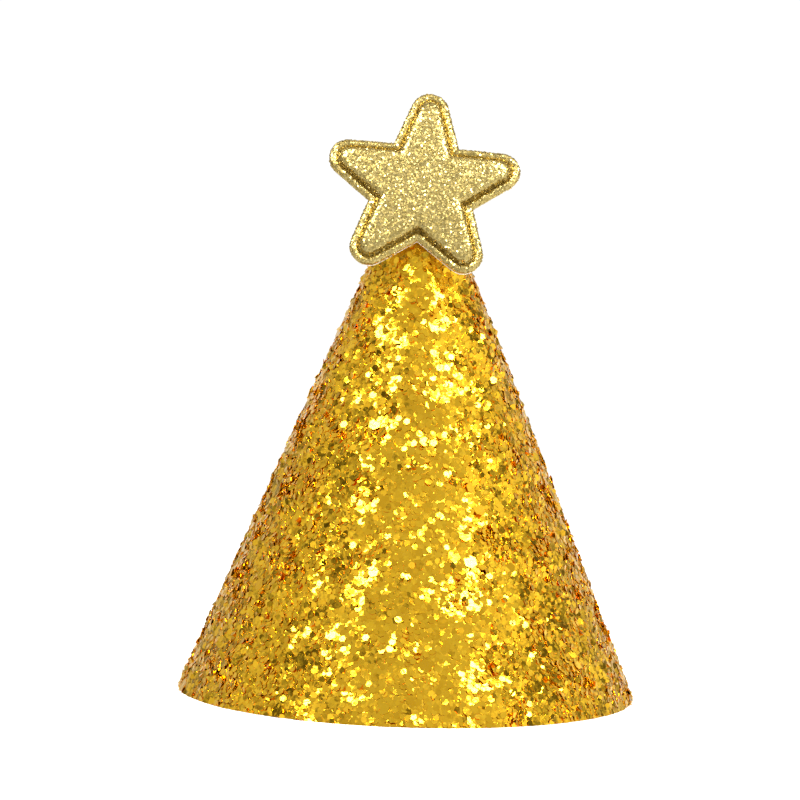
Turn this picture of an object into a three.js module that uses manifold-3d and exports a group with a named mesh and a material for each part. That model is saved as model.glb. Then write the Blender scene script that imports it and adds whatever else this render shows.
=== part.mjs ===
// A mini party hat: a cone of gold glitter fabric over a card cone, with a padded star glued to the
// front of its tip, and two ribbon loops inside for a chin elastic.
// Millimetres. +Z is up, the origin is the middle of the rim on the table, and the front faces -Y.
import * as THREE from "three";
import { mergeVertices } from "three/addons/utils/BufferGeometryUtils.js";
import Module from "manifold-3d";

// --- Driving dimensions -----------------------------------------------------------------------

const RIM_RADIUS = 38; // outside of the glitter cover at the rim
const CONE_HEIGHT = 92; // from the rim to where the cover's straight sides would meet
const TIP_RADIUS = 2; // the cover stops here and leaves a small hole at the tip
const CARD_TIP_RADIUS = 5; // card can't be rolled as tight as the fabric

const COVER_THICKNESS = 0.6;
const CARD_THICKNESS = 0.5;
const TAPE_THICKNESS = 0.2;
const GLUE_GAP = 0.1; // between sheets that are stuck together
const CLEARANCE = 0.3; // between a sheet and a piece cut to rest on it

const COVER_OVERLAP = THREE.MathUtils.degToRad(11); // 7 mm at the rim
const CARD_OVERLAP = THREE.MathUtils.degToRad(9);
const RAMP = THREE.MathUtils.degToRad(14); // where a sheet climbs onto its own edge
const COVER_SEAM = THREE.MathUtils.degToRad(84); // where the cover's hidden edge lies: the back
const CARD_SEAM = THREE.MathUtils.degToRad(130); // beside the cover's seam, so that they don't stack
const CARD_RECESS = 0.5; // the card stops short of the rim, so that the fabric hides it
const WRAP_STEP = THREE.MathUtils.degToRad(3);

const STAR_POINTS = 5;
const STAR_LINE = 7.45; // from the star's centre to the line of each of its edges
const STAR_TIP_HALF_ANGLE = THREE.MathUtils.degToRad(18.7);
const STAR_TIP_CENTRE = 13.3; // from the star's centre to the centre of a rounded tip
const STAR_BORDER = 1.55; // width of the flat welded border round the padding
const STAR_HEIGHT = 4.8; // thickness of the padded face at its middle
const STAR_BORDER_HEIGHT = 1.1;
const STAR_GROOVE_HEIGHT = 0.8;
const STAR_SKIN = 0.5;
const STAR_BACK_THICKNESS = 0.8;
const STAR_SEGMENTS = 120;
const STAR_DOWN_SLOPE = 8.6; // star's centre, down the front of the cone from its apex
const STAR_STANDOFF = 1.0; // from the cone's front line to the star's back
const STAR_TURN = THREE.MathUtils.degToRad(-3.6); // it was glued on slightly turned

const LOOP_WIDTH = 8; // of the ribbon
const RIBBON_THICKNESS = 0.4;
const LOOP_EYE_RADIUS = 0.9;
const LOOP_LOW = 6;
const LOOP_HIGH = 24;
const PATCH_LOW = 13;
const PATCH_THICKNESS = 0.8;
const PATCH_HALF_ANGLE = THREE.MathUtils.degToRad(16);

// --- Worked out from them ---------------------------------------------------------------------

const HALF_ANGLE = Math.atan(RIM_RADIUS / CONE_HEIGHT);
const STAR_TIP_RADIUS = STAR_LINE - STAR_TIP_CENTRE * Math.sin(STAR_TIP_HALF_ANGLE);
const COVER_STEP = COVER_THICKNESS + TAPE_THICKNESS + 2 * GLUE_GAP;
const CARD_STEP = CARD_THICKNESS + TAPE_THICKNESS + 2 * GLUE_GAP;
const CARD_OUTSIDE = -COVER_THICKNESS - GLUE_GAP; // the card's outer face, square to the cover's outside
const CARD_INSIDE = CARD_OUTSIDE - CARD_THICKNESS;
const FULL_TURN = 2 * Math.PI;

const heightAtRadius = (radius) => CONE_HEIGHT * (1 - radius / RIM_RADIUS);
const smooth = (t) => THREE.MathUtils.smoothstep(t, 0, 1);

// --- Materials --------------------------------------------------------------------------------

const material = (color, roughness, metalness) =>
  new THREE.MeshStandardMaterial({ color, roughness, metalness });

const materials = {
  glitter: material("#d9b02c", 0.3, 0.9),
  starGlitter: material("#cdb565", 0.4, 0.8),
  card: material("#f2efe8", 0.9, 0),
  tape: material("#e9e4d4", 0.5, 0),
  glue: material("#e8e2cf", 0.3, 0),
  foam: material("#f4f2ec", 0.95, 0),
  felt: material("#efe9dc", 1, 0),
  ribbon: material("#ece6da", 0.7, 0),
};

// --- Solids -----------------------------------------------------------------------------------

const wasm = await Module();
wasm.setup();

function toSolid(geometry) {
  const bare = geometry.clone();
  bare.deleteAttribute("normal");
  bare.deleteAttribute("uv");
  const merged = mergeVertices(bare, 1e-3);
  return new wasm.Manifold(
    new wasm.Mesh({
      numProp: 3,
      vertProperties: merged.attributes.position.array,
      triVerts: new Uint32Array(merged.index.array),
    }),
  );
}

function toGeometry(solid) {
  const mesh = solid.getMesh();
  return new THREE.BufferGeometry()
    .setAttribute("position", new THREE.BufferAttribute(mesh.vertProperties, 3))
    .setIndex(new THREE.BufferAttribute(mesh.triVerts, 1));
}

// Moves every vertex of a geometry to where place(x, y, z) puts it.
function reshape(geometry, place) {
  const position = geometry.getAttribute("position");
  for (let i = 0; i < position.count; i++) {
    position.setXYZ(i, ...place(position.getX(i), position.getY(i), position.getZ(i)));
  }
  geometry.computeVertexNormals();
  return geometry;
}

function addPiece(parent, name, geometry, look) {
  const mesh = new THREE.Mesh(geometry, look);
  mesh.name = name;
  parent.add(mesh);
  return mesh;
}

// --- The cone's sheets ------------------------------------------------------------------------

// A flat sheet bent round the cone. Its inner face lies at offset(angle), measured square to the
// wall from the cover's outside.
function coneSheet({ from, to, low, high, thickness, offset }) {
  const steps = Math.round((to - from) / WRAP_STEP);
  const flat = new THREE.BoxGeometry(thickness, to - from, high - low, 1, steps, 1);
  flat.translate(thickness / 2, (from + to) / 2, (low + high) / 2);
  return reshape(flat, (out, angle, z) => {
    const onWall = RIM_RADIUS * (1 - z / CONE_HEIGHT);
    const radius = onWall + (offset(angle) + out) / Math.cos(HALF_ANGLE);
    return [radius * Math.cos(angle), radius * Math.sin(angle), z];
  });
}

// The cover's free edge climbs over its hidden edge at the back.
function makeCover(hat) {
  const climbEnd = COVER_SEAM + FULL_TURN;
  const cover = coneSheet({
    from: COVER_SEAM,
    to: climbEnd + COVER_OVERLAP,
    low: 0,
    high: heightAtRadius(TIP_RADIUS),
    thickness: COVER_THICKNESS,
    offset: (angle) => COVER_STEP * smooth((angle - climbEnd + RAMP) / RAMP) - COVER_THICKNESS,
  });
  addPiece(hat, "glitter_cover", cover, materials.glitter);

  const tape = coneSheet({
    from: COVER_SEAM + COVER_OVERLAP * 0.15,
    to: COVER_SEAM + COVER_OVERLAP * 0.85,
    low: 1,
    high: heightAtRadius(TIP_RADIUS) - 4,
    thickness: TAPE_THICKNESS,
    offset: () => GLUE_GAP,
  });
  addPiece(hat, "cover_seam_tape", tape, materials.tape);
}

// The card's hidden edge steps inwards, so that the card stays round outside.
function makeCard(hat) {
  const high = heightAtRadius(CARD_TIP_RADIUS);
  const card = coneSheet({
    from: CARD_SEAM,
    to: CARD_SEAM + FULL_TURN + CARD_OVERLAP,
    low: CARD_RECESS,
    high,
    thickness: CARD_THICKNESS,
    offset: (angle) =>
      CARD_INSIDE - CARD_STEP * (1 - smooth((angle - CARD_SEAM - CARD_OVERLAP) / RAMP)),
  });
  addPiece(hat, "card_cone", card, materials.card);

  const tape = coneSheet({
    from: CARD_SEAM + CARD_OVERLAP * 0.15,
    to: CARD_SEAM + CARD_OVERLAP * 0.85,
    low: CARD_RECESS + 1,
    high: high - 2,
    thickness: TAPE_THICKNESS,
    offset: () => CARD_INSIDE - GLUE_GAP - TAPE_THICKNESS,
  });
  addPiece(hat, "card_seam_tape", tape, materials.tape);
}

// Hot glue run into the tip above the card holds the cover's point together.
function makeTipGlue(hat) {
  const low = heightAtRadius(CARD_TIP_RADIUS) + CLEARANCE;
  const high = heightAtRadius(TIP_RADIUS) - 0.5;
  const inside = (COVER_THICKNESS + CLEARANCE) / Math.cos(HALF_ANGLE);
  const radiusAt = (z) => RIM_RADIUS * (1 - z / CONE_HEIGHT) - inside;
  const profile = [
    new THREE.Vector2(0, low),
    new THREE.Vector2(radiusAt(low), low),
    new THREE.Vector2(radiusAt(high), high),
    new THREE.Vector2(0, high + 0.4),
  ];
  const plug = new THREE.LatheGeometry(profile, 36).rotateX(Math.PI / 2);
  addPiece(hat, "tip_glue", plug, materials.glue);
}

// --- The star ---------------------------------------------------------------------------------

// Distance from the star's centre to its outline, inset by a distance, along a direction.
function starRadius(direction, inset) {
  const sector = FULL_TURN / STAR_POINTS;
  const fromTip = Math.abs(direction - sector * Math.round(direction / sector));
  const tip = STAR_TIP_RADIUS - inset;
  const tipEdge = Math.atan2(
    tip * Math.cos(STAR_TIP_HALF_ANGLE),
    STAR_TIP_CENTRE + tip * Math.sin(STAR_TIP_HALF_ANGLE),
  );
  if (fromTip < tipEdge) {
    const across = STAR_TIP_CENTRE * Math.sin(fromTip);
    return STAR_TIP_CENTRE * Math.cos(fromTip) + Math.sqrt(tip * tip - across * across);
  }
  return (STAR_LINE - inset) / Math.cos(Math.PI / 2 - STAR_TIP_HALF_ANGLE - fromTip);
}

// A profile turned round the star's outline. x is 0 at the middle, 1 at the inside of the border
// and 2 at the outline, and y is the height above the star's back.
function starTurned(profile) {
  const turned = new THREE.LatheGeometry(profile, STAR_SEGMENTS).rotateX(Math.PI / 2);
  return reshape(turned, (x, y, z) => {
    const level = Math.hypot(x, y);
    const direction = Math.atan2(x, y);
    const radius =
      level <= 1
        ? level * starRadius(direction, STAR_BORDER)
        : starRadius(direction, (2 - level) * STAR_BORDER);
    return [radius * Math.sin(direction), radius * Math.cos(direction), z];
  });
}

// Heights of a puffed surface from its middle to the inside of the border.
function puff(height, edgeLevel, edgeHeight) {
  const levels = [0, 0.2, 0.4, 0.58, 0.73, 0.85, 0.93, 1];
  return levels.map((level) => {
    const share = (1 - level ** 2) ** 0.5;
    return new THREE.Vector2(level * edgeLevel, edgeHeight + (height - edgeHeight) * share);
  });
}

function makeStarFront(star) {
  const outside = puff(STAR_HEIGHT, 1, STAR_GROOVE_HEIGHT);
  const border = [
    new THREE.Vector2(1.3, STAR_BORDER_HEIGHT),
    new THREE.Vector2(1.75, STAR_BORDER_HEIGHT),
    new THREE.Vector2(2, STAR_BORDER_HEIGHT * 0.6),
    new THREE.Vector2(2, 0),
    new THREE.Vector2(1.1, 0),
  ];
  const inside = puff(STAR_HEIGHT - STAR_SKIN, 0.94, 0.3).reverse();
  const front = starTurned([...outside, ...border, ...inside].reverse());
  front.translate(0, 0, STAR_BACK_THICKNESS + GLUE_GAP);
  addPiece(star, "star_front", front, materials.starGlitter);

  const top = puff(STAR_HEIGHT - STAR_SKIN - CLEARANCE, 0.86, 0.2);
  const padding = starTurned([...top, new THREE.Vector2(0, 0)].reverse());
  padding.translate(0, 0, STAR_BACK_THICKNESS + GLUE_GAP);
  addPiece(star, "star_padding", padding, materials.foam);
}

function makeStarBack(star) {
  const outline = new THREE.Shape();
  const trim = 0.15; // the backing is cut just inside the front's edge
  for (let i = 0; i < STAR_POINTS; i++) {
    const axis = Math.PI / 2 + (i * FULL_TURN) / STAR_POINTS;
    const reach = Math.PI / 2 - STAR_TIP_HALF_ANGLE;
    outline.absarc(
      STAR_TIP_CENTRE * Math.cos(axis),
      STAR_TIP_CENTRE * Math.sin(axis),
      STAR_TIP_RADIUS - trim,
      axis - reach,
      axis + reach,
    );
    const notch = axis + Math.PI / STAR_POINTS;
    const notchRadius = starRadius(Math.PI / STAR_POINTS, trim);
    outline.lineTo(notchRadius * Math.cos(notch), notchRadius * Math.sin(notch));
  }
  const back = new THREE.ExtrudeGeometry(outline, {
    depth: STAR_BACK_THICKNESS,
    bevelEnabled: false,
    curveSegments: 10,
  });
  addPiece(star, "star_back", back, materials.felt);
}

// The star's own frame: +Z is out of its face and +Y is up its face. It lies along the cone's front.
function starFrame() {
  const frame = new THREE.Group();
  const out = new THREE.Vector3(0, -Math.cos(HALF_ANGLE), Math.sin(HALF_ANGLE));
  const up = new THREE.Vector3(0, Math.sin(HALF_ANGLE), Math.cos(HALF_ANGLE));
  frame.position.set(0, 0, CONE_HEIGHT);
  frame.position.addScaledVector(up, -STAR_DOWN_SLOPE);
  frame.position.addScaledVector(out, STAR_STANDOFF);
  frame.rotation.set(Math.PI / 2 - HALF_ANGLE, 0, 0);
  return frame;
}

// Hot glue between the star's flat back and the round front of the tip.
function makeStarGlue(hat, frame) {
  const depth = 5;
  const pad = new THREE.CylinderGeometry(1, 1, depth, 32).rotateX(Math.PI / 2);
  pad.scale(3.6, 5.5, 1);
  pad.translate(0, -2.5, -depth / 2 - CLEARANCE);
  frame.updateMatrix();
  pad.applyMatrix4(frame.matrix);

  const fat = RIM_RADIUS + CLEARANCE / Math.cos(HALF_ANGLE);
  const cone = new THREE.ConeGeometry(fat, (CONE_HEIGHT * fat) / RIM_RADIUS, 120);
  cone.rotateX(Math.PI / 2);
  cone.translate(0, 0, (CONE_HEIGHT * fat) / RIM_RADIUS / 2);
  const behind = new THREE.BoxGeometry(20, 20, 40).translate(0, 10, CONE_HEIGHT - 5);
  const glue = toSolid(pad).subtract(toSolid(cone)).subtract(toSolid(behind));
  addPiece(hat, "star_glue", toGeometry(glue), materials.glue);
}

// --- Loops for the chin elastic ---------------------------------------------------------------

// A ribbon folded into a flat loop with an eye at its lower end. Its back lies on the card.
function makeLoop(hat, side, towards) {
  const eye = LOOP_EYE_RADIUS;
  const outer = eye + RIBBON_THICKNESS;
  const doubled = 2 * RIBBON_THICKNESS;
  const length = (LOOP_HIGH - LOOP_LOW) / Math.cos(HALF_ANGLE);
  const section = new THREE.Shape();
  section.moveTo(0, length);
  section.lineTo(0, outer);
  section.absarc(outer, outer, outer, Math.PI, FULL_TURN, false);
  section.quadraticCurveTo(2 * outer, outer + 2.4, doubled, outer + 4.4);
  section.lineTo(doubled, length);
  const hole = new THREE.Path();
  hole.moveTo(RIBBON_THICKNESS, outer);
  hole.absarc(outer, outer, eye, Math.PI, FULL_TURN, false);
  hole.quadraticCurveTo(outer + eye, outer + 2, RIBBON_THICKNESS + 0.15, outer + 3.6);
  hole.lineTo(RIBBON_THICKNESS, outer);
  section.holes.push(hole);
  const loop = new THREE.ExtrudeGeometry(section, {
    depth: LOOP_WIDTH,
    bevelEnabled: false,
    curveSegments: 8,
  });
  loop.translate(0, 0, -LOOP_WIDTH / 2);
  // From the section's plane to the wall: x points inwards, y up the wall and z along the rim.
  const cardFace = CARD_INSIDE / Math.cos(HALF_ANGLE) - CLEARANCE;
  const wall = RIM_RADIUS * (1 - LOOP_LOW / CONE_HEIGHT) + cardFace;
  loop.rotateX(Math.PI / 2).rotateZ(Math.PI).rotateY(-HALF_ANGLE);
  loop.translate(wall, 0, LOOP_LOW);
  addPiece(hat, "cord_loop_" + side, loop.rotateZ(towards), materials.ribbon);
}

// A felt patch glued over the ribbon's ends: tight to the card beside them and raised over them.
function makePatch(hat, side, towards) {
  const over = 2 * RIBBON_THICKNESS + 2 * CLEARANCE + 0.2;
  const patch = coneSheet({
    from: towards - PATCH_HALF_ANGLE,
    to: towards + PATCH_HALF_ANGLE,
    low: PATCH_LOW,
    high: LOOP_HIGH,
    thickness: PATCH_THICKNESS,
    offset: (angle) => {
      const aside = (Math.abs(angle - towards) / PATCH_HALF_ANGLE - 0.55) / 0.35;
      return CARD_INSIDE - GLUE_GAP - PATCH_THICKNESS - over * (1 - smooth(aside));
    },
  });
  addPiece(hat, "loop_patch_" + side, patch, materials.felt);
}

// --- The hat ----------------------------------------------------------------------------------

const hat = new THREE.Group();
makeCover(hat);
makeCard(hat);
makeTipGlue(hat);

const frame = starFrame();
hat.add(frame);
makeStarGlue(hat, frame);
const star = new THREE.Group();
star.rotation.z = STAR_TURN;
frame.add(star);
makeStarFront(star);
makeStarBack(star);

for (const [side, towards] of [["right", 0], ["left", Math.PI]]) {
  makeLoop(hat, side, towards);
  makePatch(hat, side, towards);
}

export default hat;
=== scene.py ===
"""Looks of a mini party hat: a cone of chunky gold glitter fabric with a padded glitter star on its tip.

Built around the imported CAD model. The driving sizes repeat the model's own, in millimetres, and
every mesh is made in metres in the model's frame: +Z up, the front towards -Y.
"""
import math

import bpy
import numpy as np
from mathutils import Matrix, Quaternion, Vector


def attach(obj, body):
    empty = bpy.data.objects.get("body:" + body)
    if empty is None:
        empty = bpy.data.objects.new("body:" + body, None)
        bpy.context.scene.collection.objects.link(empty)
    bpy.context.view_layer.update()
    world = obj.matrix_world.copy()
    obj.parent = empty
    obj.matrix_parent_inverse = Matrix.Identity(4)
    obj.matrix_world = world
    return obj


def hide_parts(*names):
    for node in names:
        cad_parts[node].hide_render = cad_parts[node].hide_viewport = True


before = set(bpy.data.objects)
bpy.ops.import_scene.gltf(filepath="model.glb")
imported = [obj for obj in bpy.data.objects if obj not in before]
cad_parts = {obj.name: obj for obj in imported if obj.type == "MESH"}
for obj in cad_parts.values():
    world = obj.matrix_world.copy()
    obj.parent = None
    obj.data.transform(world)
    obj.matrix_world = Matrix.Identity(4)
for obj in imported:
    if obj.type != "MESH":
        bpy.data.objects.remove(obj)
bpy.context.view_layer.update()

MM = 0.001
FULL_TURN = 2 * math.pi
scene = bpy.context.scene
random = np.random.default_rng(2026)

# --- Sizes shared with the CAD model, in millimetres and degrees ---------------------------------

RIM_RADIUS = 38.0
CONE_HEIGHT = 92.0
TIP_RADIUS = 2.0
CARD_TIP_RADIUS = 5.0
COVER_THICKNESS = 0.6
CARD_THICKNESS = 0.5
TAPE_THICKNESS = 0.2
GLUE_GAP = 0.1
CARD_RECESS = 0.5

COVER_SEAM = math.radians(84)
COVER_OVERLAP = math.radians(11)
CARD_SEAM = math.radians(130)
CARD_OVERLAP = math.radians(9)
RAMP = math.radians(14)

STAR_POINTS = 5
STAR_LINE = 7.45
STAR_TIP_HALF_ANGLE = math.radians(18.7)
STAR_TIP_CENTRE = 13.3
STAR_BORDER = 1.55
STAR_HEIGHT = 4.8
STAR_GROOVE_HEIGHT = 0.8
STAR_BORDER_HEIGHT = 1.15
STAR_SKIN = 0.5
STAR_BACK_THICKNESS = 0.8
STAR_DOWN_SLOPE = 8.6
STAR_STANDOFF = 1.0
STAR_TURN = math.radians(-3.6)

LOOP_WIDTH = 8.0
RIBBON_THICKNESS = 0.4
LOOP_EYE_RADIUS = 0.9
LOOP_LOW = 6.0
LOOP_HIGH = 24.0
PATCH_LOW = 13.0
PATCH_THICKNESS = 0.8
PATCH_HALF_ANGLE = math.radians(16)
CLEARANCE = 0.3

# --- Worked out from them -------------------------------------------------------------------------

HALF_ANGLE = math.atan(RIM_RADIUS / CONE_HEIGHT)
SLANT = CONE_HEIGHT / math.cos(HALF_ANGLE)
STAR_TIP_RADIUS = STAR_LINE - STAR_TIP_CENTRE * math.sin(STAR_TIP_HALF_ANGLE)
COVER_STEP = COVER_THICKNESS + TAPE_THICKNESS + 2 * GLUE_GAP
CARD_STEP = CARD_THICKNESS + TAPE_THICKNESS + 2 * GLUE_GAP
CARD_INSIDE = -COVER_THICKNESS - GLUE_GAP - CARD_THICKNESS
COVER_END = COVER_SEAM + FULL_TURN + COVER_OVERLAP


def height_at_radius(radius):
    """Height up the cone at which its outside has this radius."""
    return CONE_HEIGHT * (1 - radius / RIM_RADIUS)


def smooth(t):
    """Eases from 0 to 1 as t goes from 0 to 1."""
    t = np.clip(t, 0, 1)
    return t * t * (3 - 2 * t)


def cover_lift(angle):
    """How far the cover's outside stands off the cone where its free edge climbs over the hidden one."""
    return COVER_STEP * smooth((angle - (COVER_SEAM + FULL_TURN) + RAMP) / RAMP)


# --- Camera ---------------------------------------------------------------------------------------

CAMERA_AIM = Vector((-2.53, 0, 49.15)) * MM
CAMERA_DISTANCE = 1.2
CAMERA_ELEVATION = math.radians(6.37)
CAMERA_ROLL = math.radians(1.89)
CAMERA_LENS = 324.4


def make_camera():
    data = bpy.data.cameras.new("camera")
    data.lens = CAMERA_LENS
    data.sensor_width = 36
    camera = bpy.data.objects.new("camera", data)
    scene.collection.objects.link(camera)
    back = Vector((0, -math.cos(CAMERA_ELEVATION), math.sin(CAMERA_ELEVATION)))
    camera.location = CAMERA_AIM + back * CAMERA_DISTANCE
    camera.rotation_mode = "QUATERNION"
    level = (-back).to_track_quat("-Z", "Y")
    camera.rotation_quaternion = level @ Quaternion((0, 0, 1), CAMERA_ROLL)
    scene.camera = camera


# --- Mesh helpers ---------------------------------------------------------------------------------

SHARP_EDGE = math.radians(50)  # a sheet's faces that meet at more than this share no shading


def make_piece(name, points, *blocks, smooth_faces=True):
    """A mesh object. Points are in millimetres, and each block is an array with a row for each face."""
    corners = np.concatenate([block.ravel() for block in blocks])
    sizes = np.concatenate([np.full(len(block), block.shape[1]) for block in blocks])
    mesh = bpy.data.meshes.new(name)
    mesh.vertices.add(len(points))
    mesh.vertices.foreach_set("co", (np.asarray(points) * MM).astype(np.float32).ravel())
    mesh.loops.add(len(corners))
    mesh.loops.foreach_set("vertex_index", corners.astype(np.int32))
    mesh.polygons.add(len(sizes))
    starts = np.concatenate([[0], np.cumsum(sizes)[:-1]])
    mesh.polygons.foreach_set("loop_start", starts.astype(np.int32))
    mesh.polygons.foreach_set("use_smooth", np.full(len(sizes), smooth_faces))
    mesh.update(calc_edges=True)
    mesh.validate()
    piece = bpy.data.objects.new(name, mesh)
    scene.collection.objects.link(piece)
    return piece


def add_attribute(piece, name, values):
    """A number, or a vector of three, for each point of a piece, which its material can read."""
    values = np.asarray(values, np.float32)
    kind, field = ("FLOAT", "value") if values.ndim == 1 else ("FLOAT_VECTOR", "vector")
    piece.data.attributes.new(name, kind, "POINT").data.foreach_set(field, values.ravel())


def grid_faces(rows, columns, start=0):
    """The quads of a grid of points stored row by row."""
    index = start + np.arange(rows * columns).reshape(rows, columns)
    return np.stack(
        [index[:-1, :-1], index[:-1, 1:], index[1:, 1:], index[1:, :-1]], axis=-1
    ).reshape(-1, 4)


def border_of_grid(rows, columns):
    """The point numbers round the edge of a grid, in order."""
    index = np.arange(rows * columns).reshape(rows, columns)
    return np.concatenate(
        [index[0, :], index[1:, -1], index[-1, -2::-1], index[-2:0:-1, 0]]
    )


def sheet_solid(name, outside, inside):
    """A closed sheet between two grids of points. Slots: 0 outside, 1 inside, 2 round the edge."""
    rows, columns = outside.shape[:2]
    count = rows * columns
    points = np.concatenate([outside.reshape(-1, 3), inside.reshape(-1, 3)])
    out_faces = grid_faces(rows, columns)
    in_faces = grid_faces(rows, columns, count)[:, ::-1]
    ring = border_of_grid(rows, columns)
    ring_next = np.roll(ring, -1)
    edge_faces = np.stack([ring, ring + count, ring_next + count, ring_next], axis=-1)
    piece = make_piece(name, points, out_faces, in_faces, edge_faces)
    slots = np.repeat([0, 1, 2], [len(out_faces), len(in_faces), len(edge_faces)])
    piece.data.polygons.foreach_set("material_index", slots.astype(np.int32))
    flat = np.ones(len(slots), bool)
    flat[-len(edge_faces):] = False
    piece.data.polygons.foreach_set("use_smooth", flat)
    piece.data.set_sharp_from_angle(angle=SHARP_EDGE)
    return piece


def turned_solid(name, rings, first, last):
    """A closed solid from rings of points, with a fan to one point at each end."""
    rings = np.asarray(rings)
    count, around = rings.shape[:2]
    points = np.concatenate([rings.reshape(-1, 3), [first], [last]])
    index = np.arange(count * around).reshape(count, around)
    index = np.concatenate([index, index[:, :1]], axis=1)
    sides = np.stack(
        [index[:-1, :-1], index[1:, :-1], index[1:, 1:], index[:-1, 1:]], axis=-1
    ).reshape(-1, 4)
    top = np.full(around, count * around)
    bottom = top + 1
    first_fan = np.stack([top, index[0, :-1], index[0, 1:]], axis=-1)
    last_fan = np.stack([bottom, index[-1, 1:], index[-1, :-1]], axis=-1)
    return make_piece(name, points, sides, first_fan, last_fan)


def waves(points, length, seed, count=28):
    """Smooth random values of unit spread over points, with a wavelength of about length millimetres."""
    own = np.random.default_rng(seed)
    turns = own.normal(size=(count, 3))
    turns /= np.linalg.norm(turns, axis=1, keepdims=True)
    turns *= FULL_TURN / (length * own.uniform(0.7, 1.5, (count, 1)))
    starts = own.uniform(0, FULL_TURN, count)
    total = np.zeros(points.shape[:-1])
    for turn, start in zip(turns, starts):
        total += np.cos(points @ turn + start)
    return total * math.sqrt(2 / count)


def finish_piece(piece, slot, materials, *nodes):
    """Gives a piece its materials and its place in the assembly, and hides the CAD nodes that it stands
    for.
    """
    for look in materials:
        piece.data.materials.append(look)
    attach(piece, "root")
    if nodes:
        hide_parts(*nodes)


# --- Material helpers -----------------------------------------------------------------------------


def add_node(tree, kind, inputs=None, **settings):
    made = tree.nodes.new(kind)
    for name, value in settings.items():
        setattr(made, name, value)
    for name, value in (inputs or {}).items():
        if isinstance(value, bpy.types.NodeSocket):
            tree.links.new(value, made.inputs[name])
        else:
            made.inputs[name].default_value = value
    return made


def start_material(name):
    look = bpy.data.materials.new(name)
    look.use_nodes = True
    tree = look.node_tree
    tree.nodes.clear()
    return look, tree


def end_material(tree, shader):
    output = add_node(tree, "ShaderNodeOutputMaterial")
    tree.links.new(shader.outputs[0], output.inputs["Surface"])


def object_place(tree):
    return add_node(tree, "ShaderNodeTexCoord").outputs["Object"]


def mix_colours(tree, factor, low, high):
    mix = add_node(tree, "ShaderNodeMix", data_type="RGBA")
    inputs = [s for s in mix.inputs if s.enabled]
    tree.links.new(factor, inputs[0])
    for socket, colour in zip(inputs[1:], (low, high)):
        if isinstance(colour, bpy.types.NodeSocket):
            tree.links.new(colour, socket)
        else:
            socket.default_value = (*colour, 1)
    return next(s for s in mix.outputs if s.enabled)


def map_range(tree, value, low, high, from_low=0.0, from_high=1.0):
    return add_node(
        tree,
        "ShaderNodeMapRange",
        {"Value": value, "From Min": from_low, "From Max": from_high, "To Min": low, "To Max": high},
    ).outputs["Result"]


def noise_value(tree, place, scale, detail=3.0, roughness=0.55):
    return add_node(
        tree,
        "ShaderNodeTexNoise",
        {"Vector": place, "Scale": scale, "Detail": detail, "Roughness": roughness},
    ).outputs["Fac"]


def bump(tree, height, distance, strength=1.0, normal=None):
    inputs = {"Height": height, "Distance": distance, "Strength": strength}
    if normal is not None:
        inputs["Normal"] = normal
    return add_node(tree, "ShaderNodeBump", inputs).outputs["Normal"]


def maths(tree, operation, first, second=0.0):
    return add_node(tree, "ShaderNodeMath", {0: first, 1: second}, operation=operation).outputs[0]


# --- Materials ------------------------------------------------------------------------------------


def flake_material(name, deep, pale, coat, roughness):
    """Mirror-bright dyed foil under clear film. Each flake has its own tint and polish."""
    look, tree = start_material(name)
    tint = add_node(tree, "ShaderNodeAttribute", attribute_name="tint").outputs["Fac"]
    polish = add_node(tree, "ShaderNodeAttribute", attribute_name="polish").outputs["Fac"]
    dents = noise_value(tree, object_place(tree), 900.0, 1.0)
    shader = add_node(
        tree,
        "ShaderNodeBsdfPrincipled",
        {
            "Base Color": mix_colours(tree, tint, deep, pale),
            "Metallic": 1.0,
            "Roughness": map_range(tree, polish, *roughness),
            "Coat Weight": coat,
            "Coat Roughness": 0.06,
            "Normal": bump(tree, dents, 0.00006),
        },
    )
    end_material(tree, shader)
    return look


def glitter_ground_material(name, deep, pale, cell, coat, steepness):
    """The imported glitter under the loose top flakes: small cells that each lean their own way."""
    look, tree = start_material(name)
    cells = add_node(
        tree,
        "ShaderNodeTexVoronoi",
        {"Vector": object_place(tree), "Scale": 1 / (cell * MM), "Randomness": 1.0},
    )
    lean = add_node(
        tree,
        "ShaderNodeVectorMath",
        {0: cells.outputs["Color"], 1: (0.5, 0.5, 0.5)},
        operation="SUBTRACT",
    ).outputs[0]
    leaning = add_node(
        tree,
        "ShaderNodeVectorMath",
        {0: lean, "Scale": steepness},
        operation="SCALE",
    ).outputs[0]
    straight = add_node(tree, "ShaderNodeNewGeometry").outputs["Normal"]
    together = add_node(
        tree, "ShaderNodeVectorMath", {0: straight, 1: leaning}, operation="ADD"
    ).outputs[0]
    normal = add_node(
        tree, "ShaderNodeVectorMath", {0: together}, operation="NORMALIZE"
    ).outputs[0]
    split = add_node(tree, "ShaderNodeSeparateColor", {"Color": cells.outputs["Color"]})
    shader = add_node(
        tree,
        "ShaderNodeBsdfPrincipled",
        {
            "Base Color": mix_colours(tree, split.outputs["Red"], deep, pale),
            "Metallic": 1.0,
            "Roughness": map_range(tree, split.outputs["Green"], 0.2, 0.45),
            "Coat Weight": coat,
            "Coat Roughness": 0.1,
            "Normal": normal,
        },
    )
    end_material(tree, shader)
    return look


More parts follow.
